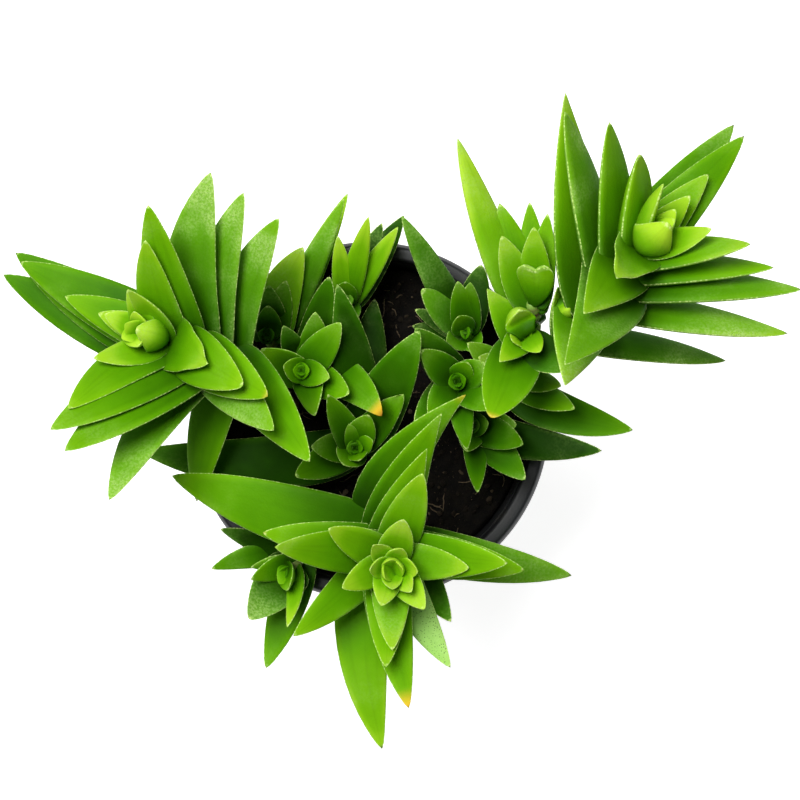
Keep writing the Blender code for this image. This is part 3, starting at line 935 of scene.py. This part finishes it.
SHOOTS = [
    Shoot("centre_left", [(-20, 14, 88), (-21, 15, 110), (-21.8, 16.4, 130)], [
        at(2, -13, 48, 14, OVATE, cup=2.0), at(2, 164, 60, 12, SCALE, cup=2.5), at(5, 51, 39, 26, OVATE),
        at(5, -72, 48, 22, twist=40, sway=2), at(8, -24, 48, 25, OVATE, wide=1.05),
        at(8, 150, 40, 20, SCALE, wide=1.2, cup=3, roll=-25), at(11, 78, 44, 28, age=0.55, sway=-3),
        at(13, -28, 42, 39, scorch=0.6, sway=10, age=0.5), at(14, 75, 25, 36, SCALE, wide=0.85, age=0.75),
        at(15, 112, 53, 28, wide=0.8, age=0.8), at(15, 44, -30, 22, wide=0.7, age=0.9)], young=0.3),
    Shoot("behind_left", [(-29, 20, 88), (-31.5, 24.5, 106), (-33.4, 28, 120)], [
        at(2, 90, 30, 12, SCALE), at(4, 92, 10, 22, wide=0.7, age=0.1), at(5, 74, 24, 22, age=0.5),
        at(7, 70, 26, 36, silver=0.6, wide=1.15, sway=5, age=0.1), at(8, 91, 40, 24),
        at(11, 63, 22, 57, silver=0.9, wide=0.55, deep=1.4, age=0.35),
        at(13, 64, 11, 57, wide=0.6, age=0.1)], young=0.6),
    Shoot("behind", [(-8, 34, 88), (-8, 37, 104), (-8, 39.5, 117)], [
        at(1, 89, 55, 11, SCALE), at(2, 96, 31, 25, wide=0.65, age=0.05),
        at(3, 74, 33, 34, wide=0.62, age=0.1), at(4, -70, 61, 14, SCALE, age=0.6),
        at(5, 55, 27, 34, wide=0.62, age=0.1), at(6, 66, 7, 30, wide=0.8, age=0.85),
        at(7, 57, 8, 36, wide=0.8, age=0.85)], young=0.4),
    Shoot("behind_right", [(34, 26, 88), (33, 27.5, 106), (31.5, 29.5, 122)], [
        at(1, 119, 60, 11, SCALE), at(3, 101, 41, 22, wide=0.85), at(4, 87, 43, 22, wide=0.85),
        at(5, 137, 31, 24, SCALE, deep=1.8, silver=0.7, roll=15), at(6, 78, -10, 24, SCALE, age=0.85),
        at(7, -150, 55, 14, SCALE, cup=3, wide=1.1), at(8, -60, 60, 13, SCALE, cup=3),
        at(9, 120, 29, 50, silver=0.6, wide=0.65, light=0.1, deep=1.6, roll=10),
        at(11, 152, -25, 22, wide=0.7, age=0.85), at(12, 168, -30, 22, wide=0.7, age=0.9)],
        heart=(3.0, 0.0), young=0.35),
    Shoot("middle", [(30, 12, 88), (29, 12.5, 110), (28.6, 13, 128)], [
        at(2.5, 62, 54, 12, SCALE), at(3, 32, 48, 16, SCALE, wide=1.1), at(4, 139, 45, 22, OVATE),
        at(5, -42, 50, 21, OVATE), at(5, -130, 46, 21, OVATE, wide=1.1), at(8, 129, 48, 33, age=0.7),
        at(8, -134, 36, 25, OVATE, wide=1.1, age=0.7), at(10, -83, 43, 30, wide=0.7)],
        heart=(5.5, 20.0), young=0.42),
    Shoot("centre", [(-4, -8, 88), (-4.5, -8.5, 108), (-4.7, -8.7, 124)], [
        at(1, 103, 42, 11, wide=0.7), at(1, 24, 44, 9), at(2, 67, 46, 17, SCALE, wide=1.05),
        at(2, -70, 62, 9, SCALE), at(4, 116, 44, 27, cup=3, wide=0.85),
        at(5, 48, 38, 30, OVATE, wave=0.6, wide=0.9), at(5, -125, 62, 14, SCALE, wide=1.2),
        at(9, 61, 34, 52, wide=1.1, age=0.75), at(9, 178, 50, 22, SCALE, cup=3),
        at(12, 96, 28, 60, age=0.95, sway=-5, wide=0.85), at(12, -155, 40, 28, SCALE),
        at(14, 83, -4, 50, age=0.97), at(15, 181, 3, 72, age=0.6, sway=9, wide=0.85)], young=0.35),
    Shoot("heart", [(57, 20, 127), (54, 28, 138), (51.5, 38, 149)], [
        at(1, 89, 45, 17, HEART, wide=1.25, notch=0.14, deep=1.6, age=0.5), at(3, 90, 20, 27),
        at(3, 114, 18, 26, OVATE), at(5, 82, 8, 32, wide=0.8), at(6, 92, 2, 36, wide=0.8),
        at(7, 107, 4, 38),
        at(11, 113, 8, 65, silver=0.4, wide=0.68, sway=4, light=0.1, deep=1.6, roll=15, age=0.2)],
        heart=(0, 0)),
    Shoot("rosette", [(50, 15, 120), (49, 21, 133), (49.5, 28.5, 149)], [
        at(0.5, 108, 50, 11, SCALE, wide=1.25, deep=2.5, cup=3, bow=-0.3), at(1, -53, 41, 10, SCALE),
        at(3, -159, 60, 9, SCALE), at(3, -135, 46, 17, WEDGE, wide=1.05),
        at(5, 127, 20, 21, WEDGE, wide=1.25), at(6, -36, 30, 19, SCALE, wide=1.3, age=0.9),
        at(8, -115, 42, 35, SCALE, wide=1.3, scorch=0.35, age=0.5)], heart=(3.5, 20.0)),
    Shoot("tiny", [(65, 31, 139), (63, 35, 146), (61.5, 37.5, 151)], [
        at(1, 88, 37, 11, wide=0.6, deep=1.6), at(0, -60, 70, 7, SCALE, BALL, wide=0.9)], heart=(3.0, 0.0)),
    Shoot("low_front", [(-16, -34, 88), (-20, -41, 108), (-27, -50, 120)], [
        at(1, -88, 61, 11, SCALE, cup=3), at(2, -129, 47, 8, SCALE), at(4, -94, 38, 24, wide=0.6, age=0.15),
        at(4, -165, 40, 18), at(5, -179, 40, 18, wide=0.7, silver=0.8),
        at(6, -130, 32, 27, SCALE, wide=1.4, cup=2.5, silver=0.5, age=0.6),
        at(9, -172, -2, 30, wide=0.8, sway=-4), at(11, -108, 4, 40, OVATE, wide=0.9, age=0.35),
        at(8.5, 160, 3, 28, age=0.8, wide=0.8)]),
    Shoot("low_right", [(36, -2, 88), (35, -1.6, 104), (34, -1.3, 114)], [
        at(1, 10, 60, 10), at(4, -21, 50, 26), at(4, -47, 34, 29, OVATE), at(5, -88, 39, 28, wide=0.7),
        at(5, -107, 56, 16), at(6, 2, 50, 21, OVATE), at(8, -11, 26, 46.5, age=0.95, sway=-4, wide=0.8)],
        young=0.4),
]


# ---- pot and soil

def turned(profile: Profile, steps: int, name: str) -> Object:
    """A closed body turned round the Z axis.

    Args:
        profile: (radius, height) in millimetres from the lower pole, round the outside, to the upper pole.
        steps: how many faces lie round it.
        name: the piece's name.

    Returns:
        The body as a mesh.
    """
    item = added(bpy.ops.mesh.primitive_plane_add, size=MM)
    item.name = name
    edit_all()
    bpy.ops.mesh.merge(type="CENTER")
    spot = (0.0, 0.0, 0.0)
    for number, (radius, height) in enumerate(profile):
        want = (radius * MM, 0.0, height * MM)
        move = tuple(b - a for a, b in zip(spot, want))
        if number == 0:
            bpy.ops.transform.translate(value=move)
        else:
            bpy.ops.mesh.extrude_vertices_move(TRANSFORM_OT_translate={"value": move})
        spot = want
    bpy.ops.mesh.select_all(action="SELECT")
    bpy.ops.mesh.spin(steps=steps, angle=2 * math.pi, center=(0.0, 0.0, 0.0), axis=(0.0, 0.0, 1.0))
    bpy.ops.mesh.select_all(action="SELECT")
    bpy.ops.mesh.remove_doubles(threshold=TURNED_WELD * MM)
    face_out()
    return item


def rounded(profile: Profile, radius: float, parts: int = 3) -> list[tuple[float, float]]:
    """A profile with its inner corners rounded, the poles left sharp."""
    made = [profile[0]]
    for before, here, after in zip(profile, profile[1:], profile[2:]):
        a, p, b = (np.array(q, float) for q in (before, here, after))
        reach = min(radius, 0.45 * np.linalg.norm(a - p), 0.45 * np.linalg.norm(b - p))
        start, end = p + unit(a - p) * reach, p + unit(b - p) * reach
        for k in range(parts + 1):
            t = k / parts
            spot = start * (1 - t) ** 2 + p * (2 * t * (1 - t)) + end * t * t
            made.append((float(spot[0]), float(spot[1])))
    return made + [profile[-1]]


@dataclass
class Pot:
    """Tapered nursery pot with a flat lip, a stacking step inside and drain holes."""

    outside: tuple = ((0, 0.6), (30, 0.6), (34, 0), (40.8, 0), (42, 1.5), (54.7, 97), (54.9, 104.4),
                      (58, 104.6), (58.5, 101.4), (59.8, 101.4), (60, 106), (58.6, 108))
    inside: tuple = ((55, 108), (54.3, 107.2), (54.2, 102.6), (53.5, 102), (53.4, 97), (40.6, 1.8), (0, 1.8))
    steps: int = 120
    drains: int = 8
    drain_radius: float = 1.8
    drain_circle: float = 31.0
    bore: tuple = ((1.8, 40.6), (97, 53.4), (102, 53.5), (108, 55))    # height and radius of the inner wall

    def build(self, finish: Material) -> None:
        """Turn the wall, drill the drain holes and dress it."""
        pot = turned(rounded(self.outside + self.inside, 0.7), self.steps, "nursery_pot")
        drills = []
        for number in range(self.drains):
            angle = 2 * math.pi * (number + 0.5) / self.drains
            x, y = self.drain_circle * MM * math.cos(angle), self.drain_circle * MM * math.sin(angle)
            drills.append(added(bpy.ops.mesh.primitive_cylinder_add, vertices=24,
                                radius=self.drain_radius * MM, depth=8 * MM, location=(x, y, 0.0)))
        drill = join(drills, "drill")
        pick(pot)
        cut = pot.modifiers.new("drains", "BOOLEAN")
        cut.object, cut.operation, cut.solver = drill, "DIFFERENCE", "EXACT"
        bpy.ops.object.modifier_apply(modifier=cut.name)
        bpy.data.objects.remove(drill)
        bpy.ops.object.shade_smooth_by_angle(angle=math.radians(40))
        places = corners_of(pot.data) / MM
        radius, height = np.hypot(places[:, 0], places[:, 1]), places[:, 2]
        # the lip's outer top, where the finish paints a highlight
        paint(pot.data, "edge", smooth(101.0, 106.0, height) * smooth(57.0, 59.5, radius))
        inner = smooth(0.9, 0.3, np.abs(radius - np.interp(height, *zip(*self.bore))))
        paint(pot.data, "inside", inner * smooth(1.0, 2.0, height))
        dress(pot, finish, ["pot"])


@dataclass
class Soil:
    """Plug of potting soil with crumbs, bark chips and root threads on its uneven top."""

    top: float = 96.0
    wall: tuple = ((0, 2.2), (39.4, 2.2), (40.4, 3.2), (52.5, 94.5), (51.9, 95.4), (51.3, 96))
    rings: int = 90
    steps: int = 150
    crumbs: int = 1300
    crumb_seed: int = 11
    threads: int = 130
    thread_seed: int = 23
    thread_radius: float = 0.16
    strewn: float = 49.0       # radius within which crumbs and threads lie

    def height(self, x: float, y: float) -> float:
        """Height of the soil's top at a place, in millimetres."""
        spot = Vector((x, y, 0.0))
        above = Vector((x, y, self.top))
        rough = 1.3 * noise.noise(above * 0.09) + 0.5 * noise.noise(above * 0.3)
        lumps = 0.9 * (0.5 - noise.voronoi(spot * 0.42)[0][0]) + 0.35 * noise.noise(spot * 1.3)
        crumb = 0.30 * (0.4 - noise.voronoi(spot * 1.1)[0][0]) + 0.12 * noise.noise(spot * 3.1)
        return self.top + rough + lumps + crumb

    def build(self, finish: Material) -> None:
        """Model and dress the plug, the crumbs and the threads."""
        edge = self.wall[-1][0]
        top = [(edge * (1 - k / self.rings), self.top) for k in range(1, self.rings + 1)]
        plug = turned(self.wall + tuple(top), self.steps, "soil_plug")
        places = corners_of(plug.data) / MM
        for spot in places:
            if spot[2] > self.top - 0.1:
                ease = float(smooth(51.4, 50.0, np.array(math.hypot(spot[0], spot[1]))))
                spot[2] += (self.height(spot[0], spot[1]) - self.top) * ease
        move_corners(plug.data, places * MM)
        paint(plug.data, "tint", 0.0)
        pick(plug)
        bpy.ops.object.shade_smooth()
        dress(plug, finish, ["soil"])
        self.scatter(finish)
        self.fibres(finish)

    def spots(self, count: int, seed: int) -> list[tuple[float, float, np.random.Generator]]:
        """Evenly strewn places on the soil's top."""
        chance = np.random.default_rng(seed)
        found = []
        for _ in range(count):
            radius, angle = self.strewn * math.sqrt(chance.random()), 2 * math.pi * chance.random()
            found.append((radius * math.cos(angle), radius * math.sin(angle), chance))
        return found

    def scatter(self, finish: Material) -> None:
        """Lay crumbs and chips: a few facets each."""
        seed = added(bpy.ops.mesh.primitive_ico_sphere_add, subdivisions=1, radius=1.0)
        base = corners_of(seed.data)
        made = []
        for x, y, chance in self.spots(self.crumbs, self.crumb_seed):
            item = twin(seed)
            size = 0.35 + 1.1 * chance.random() ** 3
            stretch = np.array((1.0, 0.55 + 0.5 * chance.random(), 0.45 + 0.4 * chance.random()))
            angle = 2 * math.pi * chance.random()
            corners = base * (1 + 0.35 * (chance.random((len(base), 1)) - 0.5)) * stretch * size
            turn = np.array(((math.cos(angle), -math.sin(angle), 0), (math.sin(angle), math.cos(angle), 0),
                             (0, 0, 1)))
            corners = corners @ turn.T + np.array((x, y, self.height(x, y) + 0.25 * size))
            move_corners(item.data, corners * MM)
            paint(item.data, "tint", 0.55 * (chance.random() ** 9) + 0.02)
            made.append(item)
        bpy.data.objects.remove(seed)
        dress(join(made, "soil_crumbs"), finish)

    def fibres(self, finish: Material) -> None:
        """Lay pale threads of root and coir on the soil."""
        curve = empty_curve(self.thread_radius, 1).data
        for x, y, chance in self.spots(self.threads, self.thread_seed):
            spline = curve.splines.new("POLY")
            spline.points.add(5)
            way, length = 2 * math.pi * chance.random(), 2.0 + 6.0 * chance.random() ** 2
            for number in range(6):
                lift = 0.15 + 0.5 * math.sin(math.pi * number / 5) * chance.random()
                spline.points[number].co = (x * MM, y * MM, (self.height(x, y) + lift) * MM, 1.0)
                spline.points[number].radius = 0.6 + 0.7 * math.sin(math.pi * (number + 0.5) / 6)
                x, y = x + math.cos(way) * length / 5, y + math.sin(way) * length / 5
                way += 1.1 * (chance.random() - 0.5)
        item = tube_mesh()
        paint(item.data, "tint", 0.55)
        bpy.ops.object.shade_smooth()
        item.name = item.data.name = "root_threads"
        dress(item, finish)


# ---- studio

@dataclass
class Studio:
    """Pale floor, soft lamps and the camera straight overhead."""

    middle: tuple[float, float] = (10.0, 7.0)
    camera_height: float = 908.0
    lens: float = 107.9
    floor_size: float = 6.0    # metres
    floor_gap: float = 0.3     # millimetres that the floor lies under the pot
    ambient: float = 0.11      # strength of the light from all round

    def build(self) -> None:
        """Set up the floor, the light and the camera."""
        floor = added(bpy.ops.mesh.primitive_grid_add, x_subdivisions=8, y_subdivisions=8,
                      size=self.floor_size)
        floor.name = "floor"
        floor.location.z = -self.floor_gap * MM
        bpy.ops.object.transform_apply(location=True, rotation=True, scale=True)
        floor.data.materials.append(FloorFinish().material())
        self.lamp("key_light", (-0.55, 0.6, 1.75), 1.0, 44.0, True)
        self.lamp("fill_light", (0.9, -0.8, 1.5), 1.0, 4.0, False)
        world = bpy.data.worlds.new("studio")
        bpy.context.scene.world = world
        world.use_nodes = True
        ambient = world.node_tree.nodes["Background"]
        ambient.inputs["Color"].default_value = (1.0, 1.0, 1.0, 1.0)
        ambient.inputs["Strength"].default_value = self.ambient
        self.camera()

    @staticmethod
    def lamp(name: str, place: Point, size: float, power: float, mirrored: bool) -> None:
        """Hang a square soft lamp that faces the plant; gloss shows it only where mirrored."""
        lamp = added(bpy.ops.object.light_add, type="AREA", location=place)
        lamp.name = name
        lamp.data.shape, lamp.data.size, lamp.data.energy = "SQUARE", size, power
        lamp.visible_glossy = mirrored
        aim = Vector((0.0, 0.0, 0.14)) - Vector(place)
        lamp.rotation_euler = aim.to_track_quat("-Z", "Y").to_euler()

    def camera(self) -> None:
        """Hang the camera and look straight down."""
        x, y = self.middle
        camera = added(bpy.ops.object.camera_add, location=(x * MM, y * MM, self.camera_height * MM),
                       rotation=(0.0, 0.0, 0.0))
        camera.name = "camera"
        camera.data.lens, camera.data.sensor_width = self.lens, 36.0
        camera.data.clip_start, camera.data.clip_end = 0.05, 20.0
        bpy.context.scene.camera = camera


def main() -> None:
    """Load the solids, build every piece round them and log each piece's faces."""
    logging.basicConfig(level=logging.INFO, format="%(name)s %(message)s")
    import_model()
    bpy.context.scene.view_settings.view_transform = "Standard"
    Studio().build()
    Pot().build(PlasticFinish().material())
    Soil().build(SoilFinish().material())
    leaf, stem = LeafFinish().material(), StemFinish().material()
    blanks = LeafBlanks()
    for sprout in [LEFT, RIGHT, FRONT, *SHOOTS]:
        sprout.build(blanks, leaf, stem)
    blanks.clear()
    bpy.context.view_layer.update()


if __name__ == "__main__":
    main()
